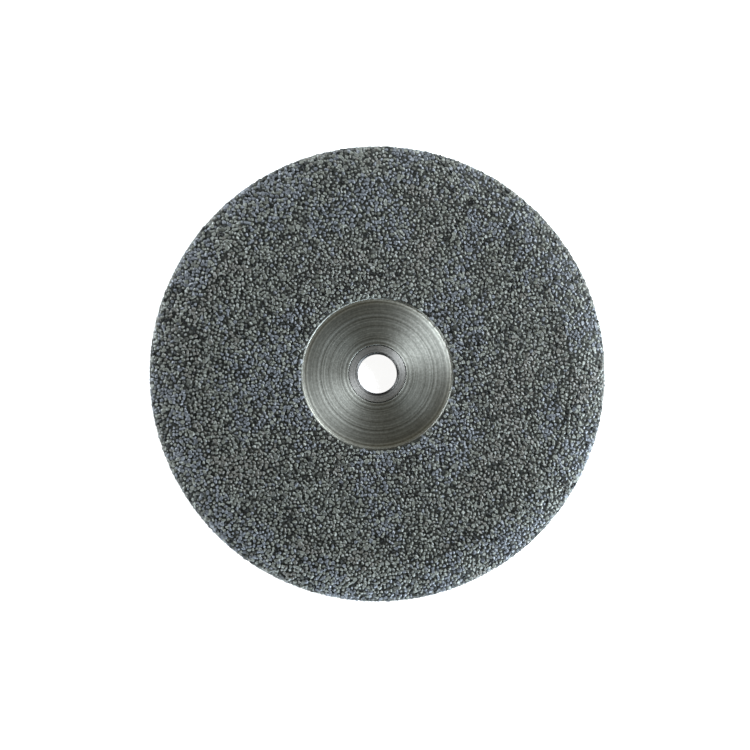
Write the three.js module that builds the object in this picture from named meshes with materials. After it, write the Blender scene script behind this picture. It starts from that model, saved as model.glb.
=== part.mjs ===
// A 6 inch lapidary diamond grinding wheel, lying on its back with the working face up.
//
// A steel core is turned with a crowned shoulder, a bare centre that is faced off a little lower than
// the plating and rounded down at its edge, and a shallow relief in the back, so that the wheel seats
// on a hub ring and a rim ring. A steel bush pressed into the core fits a 1/2 inch arbor.
// Nickel-bonded diamond covers the flat face as one layer, and the shoulder, corner and rim as a
// second one.
//
// Millimetres, +Z along the bore towards the working face. The origin is on the bore axis, in the
// plane of the back.

import * as THREE from "three";

const INCH = 25.4;
const SEGMENTS = 96; // round the bore axis
const ARC_STEPS = 2; // an arc of an outline has twice as many chords
const SAME_POINT = 1e-6; // outline points nearer than this are one point

// Driving dimensions.
const wheelRadius = (6 * INCH) / 2;
const wheelThickness = 8;
const platingThickness = 0.5; // nickel bond with one layer of diamond standing out of it
const seatGap = 0.02; // kept between neighbouring solids

const faceEdgeRadius = 64; // where the flat face ends and the crowned shoulder starts
const shoulderRadius = 39.5; // of the core's crowned shoulder, in section
const cornerRadius = 1.5; // of the core's corner between shoulder and rim, in section
const rimBareHeight = 1.4; // of the rim, left unplated above the back
const rimChamfer = 0.8;

const centreHeight = 7.2; // of the bare centre, where the clamping nut or washer seats
const centreFlatRadius = 22.4;
const centreFootRadius = 24.95; // where its rounded edge ends
const centreEdgeDrop = 0.12; // of that edge
const centreMouthRadius = INCH - 0.2; // of the chamfered step up to the flat face

const reliefInnerRadius = 30;
const reliefOuterRadius = 62;
const reliefDepth = 1;

const boreRadius = (INCH / 2 + 0.3) / 2; // a 1/2 inch arbor with clearance
const bushRadius = (0.75 * INCH) / 2;
const bushInset = 0.1; // below the core's faces at both ends, so that the core takes the clamping
const bushChamfer = 0.2;
const boreChamfer = 0.6;

// Worked out from them.
const coreRadius = wheelRadius - platingThickness;
const coreThickness = wheelThickness - platingThickness;
const bushSeatRadius = bushRadius + seatGap;
const platingInnerRadius = centreMouthRadius + 0.3;

// The rounded edge of the centre leaves its flat on a tangent.
const centreEdgeWidth = centreFootRadius - centreFlatRadius;
const centreEdgeRadius = (centreEdgeWidth ** 2 + centreEdgeDrop ** 2) / (2 * centreEdgeDrop);
const centreFootAngle = Math.acos(centreEdgeWidth / centreEdgeRadius);

// The shoulder's arc is tangent to the flat face, and the corner's arc to the shoulder and the rim.
const shoulderCentre = new THREE.Vector2(faceEdgeRadius, coreThickness - shoulderRadius);
const cornerCentreX = coreRadius - cornerRadius;
const cornerCentre = new THREE.Vector2(
  cornerCentreX,
  shoulderCentre.y +
    Math.sqrt((shoulderRadius - cornerRadius) ** 2 - (cornerCentreX - shoulderCentre.x) ** 2),
);
const meetingAngle = cornerCentre.clone().sub(shoulderCentre).angle();

const coreSteel = new THREE.MeshStandardMaterial({ color: 0x8d918e, roughness: 0.34, metalness: 1 });
const bushSteel = new THREE.MeshStandardMaterial({ color: 0x9a9b98, roughness: 0.28, metalness: 1 });
const faceDiamond = new THREE.MeshStandardMaterial({ color: 0x596059, roughness: 0.6, metalness: 0.6 });
const edgeDiamond = new THREE.MeshStandardMaterial({ color: 0x666b70, roughness: 0.55, metalness: 0.6 });

// A solid of revolution. drawOutline draws its section on a path, as radius and height.
function turned(name, material, drawOutline) {
  const outline = new THREE.Path();
  drawOutline(outline);
  outline.closePath();
  const points = outline
    .getPoints(ARC_STEPS)
    .filter((point, i, all) => i === 0 || point.distanceTo(all[i - 1]) > SAME_POINT);
  const geometry = new THREE.LatheGeometry(points, SEGMENTS);
  geometry.rotateX(Math.PI / 2);
  const mesh = new THREE.Mesh(geometry, material);
  mesh.name = name;
  return mesh;
}

// Shoulder and corner, drawn outwards and down to the rim, offset outside the core's surface.
function shoulderToRim(path, offset) {
  path.absarc(...shoulderCentre, shoulderRadius + offset, Math.PI / 2, meetingAngle, true);
  path.absarc(...cornerCentre, cornerRadius + offset, meetingAngle, 0, true);
}

// The same two arcs, drawn up from the rim and inwards.
function rimToShoulder(path, offset) {
  path.absarc(...cornerCentre, cornerRadius + offset, 0, meetingAngle, false);
  path.absarc(...shoulderCentre, shoulderRadius + offset, meetingAngle, Math.PI / 2, false);
}

function wheelCore() {
  return turned("wheel_core", coreSteel, (path) => {
    path.moveTo(bushSeatRadius + bushChamfer, 0);
    // back: hub ring, relief, rim ring
    path.lineTo(reliefInnerRadius, 0);
    path.lineTo(reliefInnerRadius + reliefDepth, reliefDepth);
    path.lineTo(reliefOuterRadius - reliefDepth, reliefDepth);
    path.lineTo(reliefOuterRadius, 0);
    path.lineTo(coreRadius - rimChamfer, 0);
    path.lineTo(coreRadius, rimChamfer);
    // rim, corner, shoulder, flat face
    path.lineTo(coreRadius, cornerCentre.y);
    rimToShoulder(path, 0);
    path.lineTo(centreMouthRadius, coreThickness);
    // bare centre and bush seat
    path.absarc(
      centreFlatRadius,
      centreHeight - centreEdgeRadius,
      centreEdgeRadius,
      centreFootAngle,
      Math.PI / 2,
      false,
    );
    path.lineTo(bushSeatRadius + bushChamfer, centreHeight);
    path.lineTo(bushSeatRadius, centreHeight - bushChamfer);
    path.lineTo(bushSeatRadius, bushChamfer);
  });
}

function arborBush() {
  const bottom = bushInset;
  const top = centreHeight - bushInset;
  return turned("arbor_bush", bushSteel, (path) => {
    path.moveTo(boreRadius + boreChamfer, bottom);
    path.lineTo(bushRadius - bushChamfer, bottom);
    path.lineTo(bushRadius, bottom + bushChamfer);
    path.lineTo(bushRadius, top - bushChamfer);
    path.lineTo(bushRadius - bushChamfer, top);
    path.lineTo(boreRadius + boreChamfer, top);
    path.lineTo(boreRadius, top - boreChamfer);
    path.lineTo(boreRadius, bottom + boreChamfer);
  });
}

function faceAbrasiveLayer() {
  return turned("face_abrasive_layer", faceDiamond, (path) => {
    path.moveTo(platingInnerRadius, coreThickness + seatGap);
    path.lineTo(faceEdgeRadius - seatGap, coreThickness + seatGap);
    path.lineTo(faceEdgeRadius - seatGap, wheelThickness);
    path.lineTo(platingInnerRadius, wheelThickness);
  });
}

function edgeAbrasiveLayer() {
  return turned("edge_abrasive_layer", edgeDiamond, (path) => {
    path.moveTo(coreRadius + seatGap, rimBareHeight);
    path.lineTo(wheelRadius, rimBareHeight);
    path.lineTo(wheelRadius, cornerCentre.y);
    rimToShoulder(path, platingThickness);
    path.lineTo(faceEdgeRadius, coreThickness + seatGap);
    shoulderToRim(path, seatGap);
  });
}

const wheel = new THREE.Group();
wheel.add(wheelCore(), arborBush(), faceAbrasiveLayer(), edgeAbrasiveLayer());

export default wheel;
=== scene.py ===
import math

import bmesh
import bpy
import numpy as np
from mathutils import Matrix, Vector, kdtree


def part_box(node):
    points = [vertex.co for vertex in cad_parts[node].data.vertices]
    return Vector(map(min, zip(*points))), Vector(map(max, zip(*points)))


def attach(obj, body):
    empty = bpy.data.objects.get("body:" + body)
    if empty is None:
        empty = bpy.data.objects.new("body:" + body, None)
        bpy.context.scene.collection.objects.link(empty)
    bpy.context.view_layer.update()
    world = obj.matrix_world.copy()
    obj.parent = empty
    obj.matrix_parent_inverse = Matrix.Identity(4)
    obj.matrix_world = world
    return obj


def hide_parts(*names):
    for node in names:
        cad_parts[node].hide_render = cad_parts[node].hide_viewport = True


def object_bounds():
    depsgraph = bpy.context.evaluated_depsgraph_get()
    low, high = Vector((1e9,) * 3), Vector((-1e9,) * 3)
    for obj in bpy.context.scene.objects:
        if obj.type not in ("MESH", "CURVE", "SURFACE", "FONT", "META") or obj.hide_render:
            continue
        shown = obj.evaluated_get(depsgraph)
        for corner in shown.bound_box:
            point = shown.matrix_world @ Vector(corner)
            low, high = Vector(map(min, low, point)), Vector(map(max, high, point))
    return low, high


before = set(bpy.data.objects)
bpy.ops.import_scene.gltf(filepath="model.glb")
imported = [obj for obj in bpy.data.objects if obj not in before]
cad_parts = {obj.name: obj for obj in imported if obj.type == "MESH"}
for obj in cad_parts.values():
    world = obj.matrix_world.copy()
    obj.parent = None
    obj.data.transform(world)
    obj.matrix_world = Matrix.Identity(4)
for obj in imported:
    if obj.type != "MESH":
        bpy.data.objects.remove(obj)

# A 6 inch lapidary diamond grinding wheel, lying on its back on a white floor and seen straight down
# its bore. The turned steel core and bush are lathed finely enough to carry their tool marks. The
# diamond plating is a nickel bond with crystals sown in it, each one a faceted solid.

CAD_LOW, CAD_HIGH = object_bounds()
MM = 0.001
TURN = 2 * math.pi

# ---------------------------------------------------------------- dimensions, in millimetres
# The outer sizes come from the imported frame. The rest repeat the CAD's section.
CORE_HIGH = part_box("wheel_core")[1] / MM
BUSH_LOW, BUSH_HIGH = (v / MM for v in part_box("arbor_bush"))
FACE_LOW, FACE_HIGH = (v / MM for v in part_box("face_abrasive_layer"))
EDGE_LOW, EDGE_HIGH = (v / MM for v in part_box("edge_abrasive_layer"))

WHEEL_RADIUS = EDGE_HIGH.x
WHEEL_TOP = FACE_HIGH.z
CORE_RADIUS = CORE_HIGH.x
CORE_TOP = CORE_HIGH.z
SKIN_GAP = FACE_LOW.z - CORE_TOP  # between core and plating
PLATING_DEPTH = WHEEL_TOP - CORE_TOP - SKIN_GAP
SHOULDER_WIDTH = 12.2  # from the flat face's edge to the outside
SHOULDER_ARC = 39.5
CORNER_ARC = 1.5
RIM_CHAMFER = 0.8
MOUTH_RADIUS = 25.2  # of the step up from the centre
CENTRE_HEIGHT = 7.2
CENTRE_FLAT = 22.4
CENTRE_FOOT = 24.95  # where the centre's rounded edge ends
CENTRE_DROP = 0.12  # of that edge
PLATING_INNER = 25.5
RELIEF_INNER, RELIEF_OUTER, RELIEF_DEPTH = 30.0, 62.0, 1.0
BORE_RADIUS = 6.5
BORE_CHAMFER = 0.6
BUSH_CHAMFER = 0.2
SEAT_GAP = 0.02
BUSH_SEAT = BUSH_HIGH.x + SEAT_GAP

FACE_EDGE = WHEEL_RADIUS - SHOULDER_WIDTH
SHOULDER_CENTRE = (FACE_EDGE, CORE_TOP - SHOULDER_ARC)
CORNER_X = CORE_RADIUS - CORNER_ARC
CORNER_CENTRE = (
    CORNER_X,
    SHOULDER_CENTRE[1]
    + math.sqrt((SHOULDER_ARC - CORNER_ARC) ** 2 - (CORNER_X - FACE_EDGE) ** 2),
)
MEETING = math.atan2(CORNER_CENTRE[1] - SHOULDER_CENTRE[1], CORNER_X - FACE_EDGE)

# ---------------------------------------------------------------- how finely it is made
CORE_SEGMENTS, BUSH_SEGMENTS, BOND_SEGMENTS = 288, 192, 720  # round the bore
CORE_ARC_STEPS, EDGE_ARC_STEPS = 12, 24
FACE_STEPS, RIM_STEPS = 77, 6
STEEL_SHARP, BOND_SHARP = math.radians(25), math.radians(60)  # edges that turn more stay sharp
CORE_SEED, FACE_SEED, EDGE_SEED = 6, 11, 12

# ---------------------------------------------------------------- tool marks, in millimetres
RING_GROOVES = (0.6, 0.02)  # pitch and depth
RELIEF_GROOVES = (0.9, 0.03)
CENTRE_GROOVES = (0.42, 0.01)
CENTRE_WAVES = 0.0012  # the slope of the longer waves under those grooves
WAVE_PERIODS = (2.3, 1.3, 0.8)
PITCH_SPREAD = 0.18  # as a share of the pitch
SHALLOWEST = 0.35  # as a share of the depth

# How light the centre is painted, by radius: painted light and shade. Painted shade darkens the joint
# round the bush, a painted highlight makes a light ring beside it, painted light brightens it
# towards the foot of the step, and painted shade dulls the step itself.
CENTRE_PAINTED_LIGHT = [
    (0, 0.12), (9.76, 0.12), (9.86, 0.72), (10.05, 0.72), (10.4, 0.5),
    (22.9, 0.48), (23.4, 0.7), (24.2, 0.86), (24.9, 0.92), (25.0, 0.2),
]
# Painted light and shade on the bush, by radius: painted shade in the bore, a painted highlight
# growing outwards on its face, and painted shade on its outer chamfer.
BUSH_PAINTED_LIGHT = [
    (0, 0.06), (7.05, 0.06), (7.2, 0.25), (7.5, 0.46),
    (8.5, 0.46), (8.9, 0.66), (9.28, 0.66), (9.36, 0.25),
]

# ---------------------------------------------------------------- plating, in millimetres
CRYSTAL_SPACING = 1.0  # the least, between centres
DARTS_PER_SQUARE = 24  # thrown on each square of that side
EDGE_CLEARANCE = (0.35, 0.95)  # the least from a centre to the plating's edge, drawn for each dart
CRYSTAL_RADIUS = (0.62, 1.04)
CRYSTAL_STRETCH = (0.75, 1.25)
TOP_SPREAD = 0.05  # of the crystals' tops about the plating's surface
BOND_SINK = 0.36  # of the nickel below that surface
BOND_CLIMB = 0.06  # of the nickel up each crystal
CLIMB_REACH = 0.7

# ---------------------------------------------------------------- tones of the crystals
FACE, SHOULDER, CLEAN, STAINED, RIM = range(5)
# From dark to light: name, colour, roughness, shine, and how common it is in each of those places.
# The shoulder's column, paler than the face's, is painted light on the shoulder where it turns down.
GRIT = [
    ("grit_black", (0.007, 0.007, 0.006), 0.45, 0.2, (1, 2, 1, 1, 12)),
    ("grit_dark", (0.035, 0.034, 0.029), 0.5, 0.25, (3, 3, 2, 3, 12)),
    ("grit_grey", (0.050, 0.049, 0.041), 0.55, 0.5, (8, 3, 3, 3, 4)),
    ("grit_blue", (0.060, 0.0612, 0.0672), 0.55, 0.5, (1, 4, 32, 0, 1)),
    ("grit_brown", (0.066, 0.060, 0.050), 0.55, 0.5, (1, 2, 0, 26, 2)),
    ("grit_light", (0.070, 0.069, 0.056), 0.55, 0.5, (9, 6, 7, 5, 2)),
    ("grit_pale", (0.089, 0.088, 0.074), 0.55, 0.5, (3, 9, 9, 2, 1)),
]
CLEAN_BELOW, STAINED_ABOVE = -1.0, 0.7  # of a stain with a spread of about 1
STAIN_SPREAD = 0.3  # from one crystal to the next
TONE_PATCHES = 0.03  # how much lighter or darker whole patches are
PATCH_SIZE = 24.0  # in millimetres
PATCH_RANGE = (0.6, 1.6)  # of the patches' sizes, as shares of that one
PATCH_WAVES = 14
BLUER_BY_CENTRE = 1.6  # how much more the face leans to the clean, bluer tones by the centre
BLUER_BAND = 12.0  # how far from there that fades, in millimetres
# How much the shoulder leans to the clean, bluer tones: painted cool light.
SHOULDER_PAINTED_LIGHT = 1.0
RIM_FACING = 0.5  # a crystal that faces outwards more than this is on the rim

# ---------------------------------------------------------------- stage, in metres
CAMERA_HEIGHT = 0.7006
CAMERA_SHIFT = (-0.003067, -0.001467)  # as shares of the picture's width
FLOOR_HALF = 3.0
FLOOR_GAP = 0.0002
FLOOR_GLOW = 0.92
COOL, COOLER = (0.815, 0.922, 1.0), (0.7, 0.86, 1.0)
WARM, WARM_STRENGTH = (1.0, 0.86, 0.4), 0.055
# Name, azimuth and elevation in degrees, distance, width, height, power in watts and colour. The low
# ones draw the bright and dark sectors of the turned centre.
LAMPS = [
    ("key", 30, 30, 0.6, 0.36, 0.27, 10.6, COOL),
    ("right", 338, 4.5, 1.0, 0.5, 0.12, 20, COOL),
    ("corner", 42, 6, 1.0, 0.5, 0.15, 11, COOL),
    ("front", 322, 4.5, 1.0, 0.5, 0.12, 22, COOLER),
    ("low", 285, 1.6, 1.0, 0.6, 0.04, 22, COOLER),
    ("left", 218, 4.5, 1.0, 0.5, 0.12, 18, COOL),
    ("back", 154, 5, 1.0, 0.6, 0.12, 18, COOL),
    ("far", 150, 1.6, 1.0, 0.8, 0.04, 15, COOL),
]

# ---------------------------------------------------------------- sections


def arc(centre, radius, start, end, steps):
    """Points of an arc in a section, both ends included."""
    turns = np.linspace(start, end, steps + 1)
    return [(centre[0] + radius * math.cos(t), centre[1] + radius * math.sin(t)) for t in turns]


def line(start, end, steps):
    """Points from start towards end, without the end itself."""
    share = np.arange(steps)[:, None] / steps
    return [tuple(p) for p in np.array(start) * (1 - share) + np.array(end) * share]


def tool_marks(start, end, grooves, rng, waves=0.0):
    """A turned surface in section: grooves of uneven pitch and depth, on waves of that slope."""
    pitch, depth = grooves
    start, end = np.array(start, float), np.array(end, float)
    length = np.linalg.norm(end - start)
    along = (end - start) / length
    out = np.array([-along[1], along[0]])
    count = max(2, int(length / pitch))
    places = np.arange(2 * count + 1) / (2 * count) * length
    places[1:-1] += rng.uniform(-PITCH_SPREAD, PITCH_SPREAD, len(places) - 2) * pitch
    cut = np.where(np.arange(len(places)) % 2, -1.0, 0.0) * depth
    cut *= rng.uniform(SHALLOWEST, 1.0, len(places))
    for period in WAVE_PERIODS:
        phase = rng.uniform(0, TURN)
        cut += waves * period / TURN * (np.sin(places / period * TURN + phase) - 1)
    cut[[0, -1]] = 0
    points = start + places[:, None] * along + cut[:, None] * out
    return [tuple(p) for p in points[:-1]]


def shoulder_to_rim(offset, steps):
    """Shoulder and corner, drawn outwards and down to the rim, offset outside the core's surface."""
    shoulder = arc(SHOULDER_CENTRE, SHOULDER_ARC + offset, math.pi / 2, MEETING, steps)
    corner = arc(CORNER_CENTRE, CORNER_ARC + offset, MEETING, 0, max(4, steps // 3))
    return shoulder[:-1] + corner


# ---------------------------------------------------------------- meshes


def new_piece(name, nodes, verts, faces, materials, smooth_angle=None, choice=None):
    """A mesh piece in the CAD frame, riding on the wheel and standing for its CAD nodes."""
    mesh = bpy.data.meshes.new(name)
    mesh.from_pydata((np.asarray(verts) * MM).tolist(), [], np.asarray(faces).tolist())
    for material in materials:
        mesh.materials.append(material)
    if choice is not None:
        mesh.polygons.foreach_set("material_index", np.asarray(choice, np.int32))
    if smooth_angle is not None:
        mesh.polygons.foreach_set("use_smooth", np.ones(len(mesh.polygons), bool))
        mesh.set_sharp_from_angle(angle=smooth_angle)
    mesh.validate()
    mesh.update()
    piece = bpy.data.objects.new(name, mesh)
    bpy.context.scene.collection.objects.link(piece)
    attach(piece, "root")
    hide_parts(*nodes)


def lathed(section, segments):
    """Vertices and quads of a closed section turned round the bore. Sections run clockwise, outside on
    the left of the way along them, with the radius across and the height up."""
    section = np.asarray(section, float)
    count = len(section)
    turns = np.arange(segments) / segments * TURN
    verts = np.empty((segments, count, 3))
    verts[:, :, 0] = np.cos(turns)[:, None] * section[:, 0]
    verts[:, :, 1] = np.sin(turns)[:, None] * section[:, 0]
    verts[:, :, 2] = section[:, 1]
    i, j = np.meshgrid(np.arange(segments), np.arange(count), indexing="ij")
    i_next, j_next = (i + 1) % segments, (j + 1) % count
    faces = np.stack(
        [i * count + j, i * count + j_next, i_next * count + j_next, i_next * count + j], axis=-1
    )
    return verts.reshape(-1, 3), faces.reshape(-1, 4)


# ---------------------------------------------------------------- core and bush


def back_section(rng):
    """The back of the blank, inwards: rim chamfer, rim ring, relief, hub ring."""
    roof_outer, roof_inner = RELIEF_OUTER - RELIEF_DEPTH, RELIEF_INNER + RELIEF_DEPTH
    seat_edge = BUSH_SEAT + BUSH_CHAMFER
    points = [(CORE_RADIUS, RIM_CHAMFER)]
    points += tool_marks((CORE_RADIUS - RIM_CHAMFER, 0), (RELIEF_OUTER, 0), RING_GROOVES, rng)
    points += [(RELIEF_OUTER, 0)]
    points += tool_marks((roof_outer, RELIEF_DEPTH), (roof_inner, RELIEF_DEPTH), RELIEF_GROOVES, rng)
    points += [(roof_inner, RELIEF_DEPTH)]
    points += tool_marks((RELIEF_INNER, 0), (seat_edge, 0), RING_GROOVES, rng)
    return points + [(seat_edge, 0)]


def centre_section(rng):
    """The bare centre, outwards to the foot of the step, rounded down at its edge."""
    start = (BUSH_SEAT + BUSH_CHAMFER, CENTRE_HEIGHT)
    end = (CENTRE_FOOT, CENTRE_HEIGHT)
    flat = tool_marks(start, end, CENTRE_GROOVES, rng, CENTRE_WAVES)
    band = CENTRE_FOOT - CENTRE_FLAT
    points = [(r, z - CENTRE_DROP * max(0, (r - CENTRE_FLAT) / band) ** 2) for r, z in flat]
    return points + [(CENTRE_FOOT, CENTRE_HEIGHT - CENTRE_DROP)]


def core_section(rng):
    """The steel blank, clockwise from the step round the centre: face, rim, back, bush seat, centre."""
    top = [(MOUTH_RADIUS, CORE_TOP)] + shoulder_to_rim(0, CORE_ARC_STEPS)
    back = back_section(rng)
    seat = [(BUSH_SEAT, BUSH_CHAMFER), (BUSH_SEAT, CENTRE_HEIGHT - BUSH_CHAMFER)]
    return top + back + seat + centre_section(rng)


def bush_section():
    """The bush, clockwise from the top inner edge."""
    low, high = BUSH_LOW.z, BUSH_HIGH.z
    outer = BUSH_HIGH.x
    return [
        (BORE_RADIUS + BORE_CHAMFER, high),
        (outer - BUSH_CHAMFER, high),
        (outer, high - BUSH_CHAMFER),
        (outer, low + BUSH_CHAMFER),
        (outer - BUSH_CHAMFER, low),
        (BORE_RADIUS + BORE_CHAMFER, low),
        (BORE_RADIUS, low + BORE_CHAMFER),
        (BORE_RADIUS, high - BORE_CHAMFER),
    ]


# ---------------------------------------------------------------- diamond plating


class Plating:
    """Crystals sown over a surface of revolution, given by its outer line as radius and height, so that
    no two centres are nearer than the spacing."""

    def __init__(self, outline, seed):
        self.rng = np.random.default_rng(seed)
        self.outline = np.asarray(outline, float)
        steps = np.linalg.norm(np.diff(self.outline, axis=0), axis=1)
        self.reach = np.concatenate([[0], np.cumsum(steps)])
        places, turns = self.darts(DARTS_PER_SQUARE / CRYSTAL_SPACING**2)
        self.centres, self.normals = self.points(places, turns)
        kept = self.apart(CRYSTAL_SPACING)
        self.centres, self.normals = self.centres[kept], self.normals[kept]

    def darts(self, density):
        """Random places along the outline and turns round it, even over the surface."""
        radius = (self.outline[1:, 0] + self.outline[:-1, 0]) / 2
        area = np.concatenate([[0], np.cumsum(TURN * radius * np.diff(self.reach))])
        count = int(area[-1] * density)
        places = np.interp(self.rng.uniform(0, area[-1], count), area, self.reach)
        clearance = self.rng.uniform(*EDGE_CLEARANCE, count)
        places = np.clip(places, clearance, self.reach[-1] - clearance)
        return places, self.rng.uniform(0, TURN, count)

    def points(self, places, turns):
        """The surface's points there and its normals."""
        slope = np.gradient(self.outline, self.reach, axis=0)
        r, z = (np.interp(places, self.reach, self.outline[:, k]) for k in (0, 1))
        dr, dz = (np.interp(places, self.reach, slope[:, k]) for k in (0, 1))
        points = np.stack([r * np.cos(turns), r * np.sin(turns), z], axis=1)
        normals = np.stack([-dz * np.cos(turns), -dz * np.sin(turns), dr], axis=1)
        return points, normals / np.linalg.norm(normals, axis=1)[:, None]

    def apart(self, spacing):
        """The darts kept, in the order thrown: each with no earlier one kept nearer than the spacing."""
        cells, kept = {}, []
        around = [(i, j, k) for i in (-1, 0, 1) for j in (-1, 0, 1) for k in (-1, 0, 1)]
        homes = np.floor(self.centres / spacing).astype(int).tolist()
        for index, ((x, y, z), (i, j, k)) in enumerate(zip(self.centres.tolist(), homes)):
            near = (p for a, b, c in around for p in cells.get((i + a, j + b, k + c), ()))
            if all((x - u) ** 2 + (y - v) ** 2 + (z - w) ** 2 >= spacing**2 for u, v, w in near):
                cells.setdefault((i, j, k), []).append((x, y, z))
                kept.append(index)
        return kept


def cuboctahedron():
    """Vertices and triangles of the blocky shape diamond grit grows in, 1 from its middle to a vertex."""
    corners = [(a, b, 0) for a in (-1, 1) for b in (-1, 1)]
    corners += [(a, 0, b) for a in (-1, 1) for b in (-1, 1)]
    corners += [(0, a, b) for a in (-1, 1) for b in (-1, 1)]
    bm = bmesh.new()
    for corner in corners:
        bm.verts.new(corner)
    bmesh.ops.convex_hull(bm, input=bm.verts)
    bm.verts.index_update()
    bmesh.ops.triangulate(bm, faces=bm.faces)
    verts = np.array([v.co for v in bm.verts]) / math.sqrt(2)
    tris = np.array([[v.index for v in f.verts] for f in bm.faces])
    bm.free()
    return verts, tris


def random_turns(count, rng):
    """Uniform random rotation matrices."""
    q = rng.normal(size=(count, 4))
    q /= np.linalg.norm(q, axis=1)[:, None]
    w, x, y, z = q.T
    return np.stack(
        [
            np.stack([1 - 2 * (y * y + z * z), 2 * (x * y - w * z), 2 * (x * z + w * y)], 1),
            np.stack([2 * (x * y + w * z), 1 - 2 * (x * x + z * z), 2 * (y * z - w * x)], 1),
            np.stack([2 * (x * z - w * y), 2 * (y * z + w * x), 1 - 2 * (x * x + y * y)], 1),
        ],
        axis=1,
    )


def tumbled(shapes, rng):
    """Each shape turned at random about its own middle."""
    return np.einsum("nij,nkj->nki", random_turns(len(shapes), rng), shapes)


def crystals(plating):
    """One faceted crystal at each sown place, its underside flattened where it meets the core."""
    rng = plating.rng
    count = len(plating.centres)
    shape, tris = cuboctahedron()
    radius = rng.uniform(*CRYSTAL_RADIUS, count)
    grown = tumbled(shape * rng.uniform(*CRYSTAL_STRETCH, (count, 1, 3)), rng)
    local = tumbled(grown * radius[:, None, None], rng)
    top = local[:, :, 2].max(axis=1)
    local[:, :, 2] += (rng.normal(0, TOP_SPREAD, count) - top)[:, None]
    local[:, :, 2] = np.maximum(local[:, :, 2], -PLATING_DEPTH)
    up = plating.normals
    side = np.cross(up, (0.0, 0.0, 1.0))
    side[np.linalg.norm(side, axis=1) < 1e-6] = (1, 0, 0)
    side /= np.linalg.norm(side, axis=1)[:, None]
    other = np.cross(up, side)
    verts = (
        plating.centres[:, None]
        + local[:, :, 0:1] * side[:, None]
        + local[:, :, 1:2] * other[:, None]
        + local[:, :, 2:3] * up[:, None]
    )
    faces = tris[None] + np.arange(count)[:, None, None] * len(shape)
    return verts.reshape(-1, 3), faces.reshape(-1, 3)


def bond_surface(plating, outline, back):
    """The nickel: a closed skin whose outer side lies below the crystals' tops and climbs up each one."""
    outer = np.asarray(outline, float)
    section = list(map(tuple, outer)) + back
    verts, faces = lathed(section, BOND_SEGMENTS)
    grid = verts.reshape(BOND_SEGMENTS, len(section), 3)
    tree = kdtree.KDTree(len(plating.centres))
    for index, centre in enumerate(plating.centres):
        tree.insert(centre, index)
    tree.balance()
    steps = np.gradient(outer, axis=0)
    steps /= np.linalg.norm(steps, axis=1)[:, None]
    out = np.stack([-steps[:, 1], steps[:, 0]], axis=1)
    turns = np.arange(BOND_SEGMENTS) / BOND_SEGMENTS * TURN
    last = len(outer) - 1
    for j in range(len(outer)):
        lift = np.full(BOND_SEGMENTS, -BOND_SINK)
        if 0 < j < last:
            near = np.array([tree.find(point)[2] for point in grid[:, j]])
            lift += BOND_CLIMB * np.exp(-((near / CLIMB_REACH) ** 2))
        grid[:, j, 0] += lift * out[j, 0] * np.cos(turns)
        grid[:, j, 1] += lift * out[j, 0] * np.sin(turns)
        grid[:, j, 2] += lift * out[j, 1]
    return verts, faces


def patches(points, rng):
    """A smooth random value at each point, about 0 on average and 1 in spread."""
    waves = rng.normal(size=(PATCH_WAVES, 3))
    numbers = TURN / PATCH_SIZE / rng.uniform(*PATCH_RANGE, PATCH_WAVES)
    waves *= (numbers / np.linalg.norm(waves, axis=1))[:, None]
    heights = np.cos(points @ waves.T + rng.uniform(0, TURN, PATCH_WAVES))
    return heights.sum(axis=1) / math.sqrt(PATCH_WAVES / 2)


def grit_choice(plating, place, bluer):
    """Each crystal's tone, as a row of GRIT. place is where it is if neither clean nor stained, and
    the last argument says how much more it leans to the clean, bluer tones there than elsewhere.
    On the shoulder that lean is painted cool light."""
    rng = plating.rng
    count = len(plating.centres)
    stain = patches(plating.centres, rng) + rng.normal(0, STAIN_SPREAD, count) - bluer
    column = np.select([stain < CLEAN_BELOW, stain > STAINED_ABOVE], [CLEAN, STAINED], place)
    shares = np.array([common for *_, common in GRIT], float)
    cumulative = np.cumsum(shares / shares.sum(axis=0), axis=0)[:, column]
    draw = rng.uniform(size=count) + TONE_PATCHES * patches(plating.centres, rng)
    return np.minimum((draw > cumulative).sum(axis=0), len(GRIT) - 1)


# ---------------------------------------------------------------- materials


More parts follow.
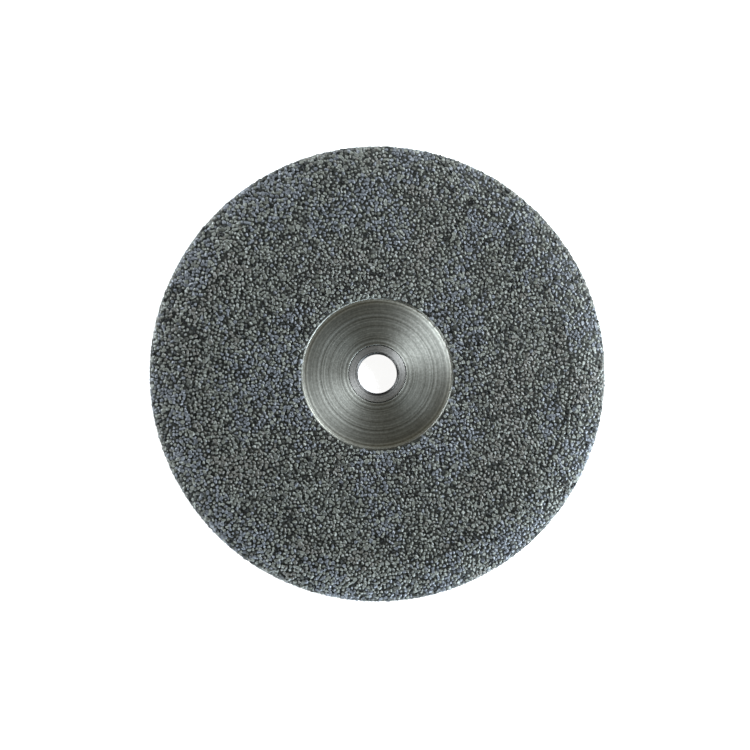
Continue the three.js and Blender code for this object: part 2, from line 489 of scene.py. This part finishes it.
class Nodes:
    """A material and short ways to add nodes to it."""

    def __init__(self, name):
        self.material = bpy.data.materials.new(name)
        self.material.use_nodes = True
        self.tree = self.material.node_tree
        self.shader = self.tree.nodes["Principled BSDF"]

    def add(self, kind, **values):
        """A node with attributes set by name and, where there is no such attribute, inputs."""
        node = self.tree.nodes.new("ShaderNode" + kind)
        for key, value in values.items():
            if hasattr(node, key):
                setattr(node, key, value)
            else:
                node.inputs[key.replace("_", " ")].default_value = value
        return node

    def join(self, source, output, target, socket):
        """A link from the source's output to the target's input."""
        self.tree.links.new(self.out(source, output), target.inputs[socket])

    def out(self, node, name):
        """A node's output of that name. A colour Mix has its colour result among others of that name."""
        return next(o for o in node.outputs if o.name == name and o.enabled)

    def set(self, **values):
        """Values of the shader's own inputs."""
        for key, value in values.items():
            self.shader.inputs[key.replace("_", " ")].default_value = value

    def radius(self, place):
        """The distance from the bore's axis, in metres."""
        flat = self.add("VectorMath", operation="MULTIPLY")
        flat.inputs[1].default_value = (1, 1, 0)
        self.join(place, "Object", flat, 0)
        length = self.add("VectorMath", operation="LENGTH")
        self.join(flat, "Vector", length, 0)
        return length

    def by_radius(self, radius, stops):
        """A ramp over the radius. stops are (radius in mm, grey or colour)."""
        last = stops[-1][0]
        share = self.add("MapRange")
        share.inputs["From Max"].default_value = last * MM
        self.join(radius, "Value", share, "Value")
        return self.ramp(share, "Result", [(place / last, value) for place, value in stops])

    def times(self, first, output, second, other_output):
        """The product of two colours."""
        node = self.add("Mix", data_type="RGBA", blend_type="MULTIPLY")
        node.inputs["Factor"].default_value = 1.0
        colours = [socket for socket in node.inputs if socket.type == "RGBA"]
        self.tree.links.new(self.out(first, output), colours[0])
        self.tree.links.new(self.out(second, other_output), colours[1])
        return node

    def bump(self, source, output, height):
        """Relief of that height in metres."""
        node = self.add("Bump", Distance=height)
        self.join(source, output, node, "Height")
        self.join(node, "Normal", self.shader, "Normal")

    def ramp(self, source, output, stops):
        """A colour ramp from that output. stops are (position, grey or colour)."""
        node = self.tree.nodes.new("ShaderNodeValToRGB")
        self.join(source, output, node, "Fac")
        while len(node.color_ramp.elements) < len(stops):
            node.color_ramp.elements.new(0.5)
        for element, (place, colour) in zip(node.color_ramp.elements, stops):
            element.position = place
            colour = (colour,) * 3 if isinstance(colour, (int, float)) else colour
            element.color = (*colour, 1)
        return node


def turned_steel(name, colour, roughness, brushing, tones=()):
    """Steel off the lathe: each ring of the cut has its own gloss and tone, light runs across the rings,
    and handling has mottled it. tones are (radius in mm, how light it is painted there): painted light
    and shade by radius."""
    m = Nodes(name)
    m.set(Metallic=1.0, Anisotropic=brushing, Anisotropic_Rotation=0.25)
    place = m.add("TexCoord")
    radius = m.radius(place)
    rings = m.add("TexNoise", noise_dimensions="1D", Scale=1400.0, Detail=3.0, Roughness=0.6)
    m.join(radius, "Value", rings, "W")
    tone = m.ramp(rings, "Fac", [(0.3, tuple(0.7 * c for c in colour)), (0.7, colour)])
    mottle = m.add("TexNoise", Scale=1600.0, Detail=2.0)
    m.join(place, "Object", mottle, "Vector")
    spots = m.ramp(mottle, "Fac", [(0.35, 0.75), (0.65, 1.0)])
    tone = m.times(tone, "Color", spots, "Color")
    # Painted light and shade: the tone times a ramp over the radius.
    if tones:
        tone = m.times(tone, "Result", m.by_radius(radius, tones), "Color")
    m.join(tone, "Result", m.shader, "Base Color")
    gloss = m.ramp(rings, "Fac", [(0.3, roughness * 0.88), (0.7, roughness * 1.12)])
    m.join(gloss, "Color", m.shader, "Roughness")
    tangent = m.add("Tangent", direction_type="RADIAL", axis="Z")
    m.join(tangent, "Tangent", m.shader, "Tangent")
    return m.material


def nickel_bond(name, colour):
    """Dull nickel, grainy between the crystals; its colour is given nearly black, partly as painted shade
    between them.
    """
    m = Nodes(name)
    m.set(Metallic=0.3, Roughness=0.7, Specular_IOR_Level=0.2)
    place = m.add("TexCoord")
    grain = m.add("TexNoise", Scale=900.0, Detail=3.0)
    m.join(place, "Object", grain, "Vector")
    tone = m.ramp(grain, "Fac", [(0.35, tuple(0.15 * c for c in colour)), (0.65, colour)])
    m.join(tone, "Color", m.shader, "Base Color")
    m.bump(grain, "Fac", 0.0001)
    return m.material


def diamond(name, colour, roughness, shine):
    """Crystals of one tone, with faces etched more in some places than in others."""
    m = Nodes(name)
    m.set(Base_Color=(*colour, 1), IOR=1.45, Specular_IOR_Level=shine)
    place = m.add("TexCoord")
    etching = m.add("TexNoise", Scale=2500.0, Detail=2.0)
    m.join(place, "Object", etching, "Vector")
    gloss = m.ramp(etching, "Fac", [(0.3, roughness * 0.7), (0.7, roughness * 1.2)])
    m.join(gloss, "Color", m.shader, "Roughness")
    m.bump(etching, "Fac", 0.00005)
    return m.material


# ---------------------------------------------------------------- the wheel


def core():
    """The blank, with a finish of its own on the bare centre and the step round it, whose tone by radius
    is painted light and shade.
    """
    steel = turned_steel("core_steel", (0.46, 0.45, 0.40), roughness=0.45, brushing=0.65)
    centre_steel = turned_steel(
        "centre_steel", (0.9, 0.87, 0.78), roughness=0.45, brushing=0.65, tones=CENTRE_PAINTED_LIGHT
    )
    section = core_section(np.random.default_rng(CORE_SEED))
    verts, faces = lathed(section, CORE_SEGMENTS)
    low = CENTRE_HEIGHT - 2 * BUSH_CHAMFER
    bare = np.array([z > low and r < MOUTH_RADIUS for r, z in section])
    bare[-1] = True  # the step, which closes the section
    choice = np.tile(bare, CORE_SEGMENTS).astype(int)
    materials = [steel, centre_steel]
    new_piece("core", ["wheel_core"], verts, faces, materials, STEEL_SHARP, choice)


def bush():
    """The bored bush, whose tone by radius is painted light and shade."""
    steel = turned_steel(
        "bush_steel", (0.95, 0.89, 0.84), roughness=0.5, brushing=0.58, tones=BUSH_PAINTED_LIGHT
    )
    verts, faces = lathed(bush_section(), BUSH_SEGMENTS)
    new_piece("bush", ["arbor_bush"], verts, faces, [steel], STEEL_SHARP)


def plated(name, plating, outline, back, bond, grit, place, bluer):
    """The bond and the crystals of one plated surface. place and swept are as in grit_choice."""
    slot, nodes = name + "_diamond", [name + "_abrasive_layer"]
    verts, faces = bond_surface(plating, outline, back)
    new_piece(name + "_bond", nodes, verts, faces, [bond], BOND_SHARP)
    verts, faces = crystals(plating)
    tones = grit_choice(plating, place, bluer)
    choice = np.repeat(tones, len(faces) // len(tones))
    new_piece(name + "_grit", nodes, verts, faces, grit, choice=choice)


def face_plating(bond, grit):
    """The flat working face, its crystals bluer by the centre."""
    inner, outer = (PLATING_INNER, WHEEL_TOP), (FACE_EDGE, WHEEL_TOP)
    outline = line(inner, outer, FACE_STEPS) + [outer]
    back = [(FACE_EDGE, CORE_TOP + SKIN_GAP), (PLATING_INNER, CORE_TOP + SKIN_GAP)]
    plating = Plating(outline, FACE_SEED)
    reach = np.linalg.norm(plating.centres[:, :2], axis=1) - PLATING_INNER
    bluer = BLUER_BY_CENTRE * np.exp(-((reach / BLUER_BAND) ** 2))
    plated("face", plating, outline, back, bond, grit, FACE, bluer)


def edge_plating(bond, grit):
    """Shoulder, corner and rim, the rim darker than the rest and the shoulder paler and bluer with
    painted light.
    """
    foot = (WHEEL_RADIUS, EDGE_LOW.z)
    outline = shoulder_to_rim(WHEEL_TOP - CORE_TOP, EDGE_ARC_STEPS)
    outline += line(outline[-1], foot, RIM_STEPS)[1:] + [foot]
    back = [(CORE_RADIUS + SKIN_GAP, EDGE_LOW.z)] + shoulder_to_rim(SKIN_GAP, EDGE_ARC_STEPS)[::-1]
    plating = Plating(outline, EDGE_SEED)
    rim = np.linalg.norm(plating.normals[:, :2], axis=1) > RIM_FACING
    # Off the rim the lean to the clean, bluer tones is painted cool light.
    place, bluer = np.where(rim, RIM, SHOULDER), np.where(rim, 0.0, SHOULDER_PAINTED_LIGHT)
    plated("edge", plating, outline, back, bond, grit, place, bluer)


def wheel():
    """Every piece of the wheel."""
    core()
    bush()
    # The nickel's near-black colour is partly painted shade in the gaps between the crystals.
    bond = nickel_bond("nickel_bond", (0.034, 0.033, 0.028))
    grit = [diamond(*look) for *look, _ in GRIT]
    face_plating(bond, grit)
    edge_plating(bond, grit)


# ---------------------------------------------------------------- stage


def floor():
    """A white floor that gives off light of its own."""
    mesh = bpy.data.meshes.new("floor")
    half = FLOOR_HALF
    corners = [(-half, -half, 0), (half, -half, 0), (half, half, 0), (-half, half, 0)]
    mesh.from_pydata(corners, [], [(0, 1, 2, 3)])
    m = Nodes("floor_white")
    m.set(Base_Color=(0.9, 0.9, 0.9, 1), Roughness=0.9)
    m.set(Emission_Color=(1, 1, 1, 1), Emission_Strength=FLOOR_GLOW)
    mesh.materials.append(m.material)
    piece = bpy.data.objects.new("floor", mesh)
    piece.location.z = CAD_LOW.z - FLOOR_GAP
    bpy.context.scene.collection.objects.link(piece)


def softbox(name, azimuth, elevation, distance, width, height, power, colour):
    """A lamp that faces the wheel and that the camera doesn't see."""
    light = bpy.data.lights.new(name, "AREA")
    light.shape = "RECTANGLE"
    light.size, light.size_y = width, height
    light.energy = power
    light.color = colour
    lamp = bpy.data.objects.new(name, light)
    a, e = math.radians(azimuth), math.radians(elevation)
    towards = Vector((math.cos(a) * math.cos(e), math.sin(a) * math.cos(e), math.sin(e)))
    lamp.location = towards * distance
    lamp.rotation_mode = "QUATERNION"
    lamp.rotation_quaternion = towards.to_track_quat("Z", "Y")
    lamp.visible_camera = False
    bpy.context.scene.collection.objects.link(lamp)


def surroundings(colour, strength):
    """An even light from everywhere."""
    world = bpy.data.worlds.new("studio")
    world.use_nodes = True
    background = world.node_tree.nodes["Background"]
    background.inputs["Color"].default_value = (*colour, 1)
    background.inputs["Strength"].default_value = strength
    bpy.context.scene.world = world


def camera():
    """Straight above the bore, with a long lens."""
    data = bpy.data.cameras.new("camera")
    data.lens = 100
    data.sensor_width = 36
    data.shift_x, data.shift_y = CAMERA_SHIFT
    eye = bpy.data.objects.new("camera", data)
    eye.location = (0, 0, CAMERA_HEIGHT)
    bpy.context.scene.collection.objects.link(eye)
    bpy.context.scene.camera = eye


camera()
wheel()
floor()
surroundings(WARM, WARM_STRENGTH)
for lamp in LAMPS:
    softbox(*lamp)
bpy.context.scene.view_settings.view_transform = "Standard"
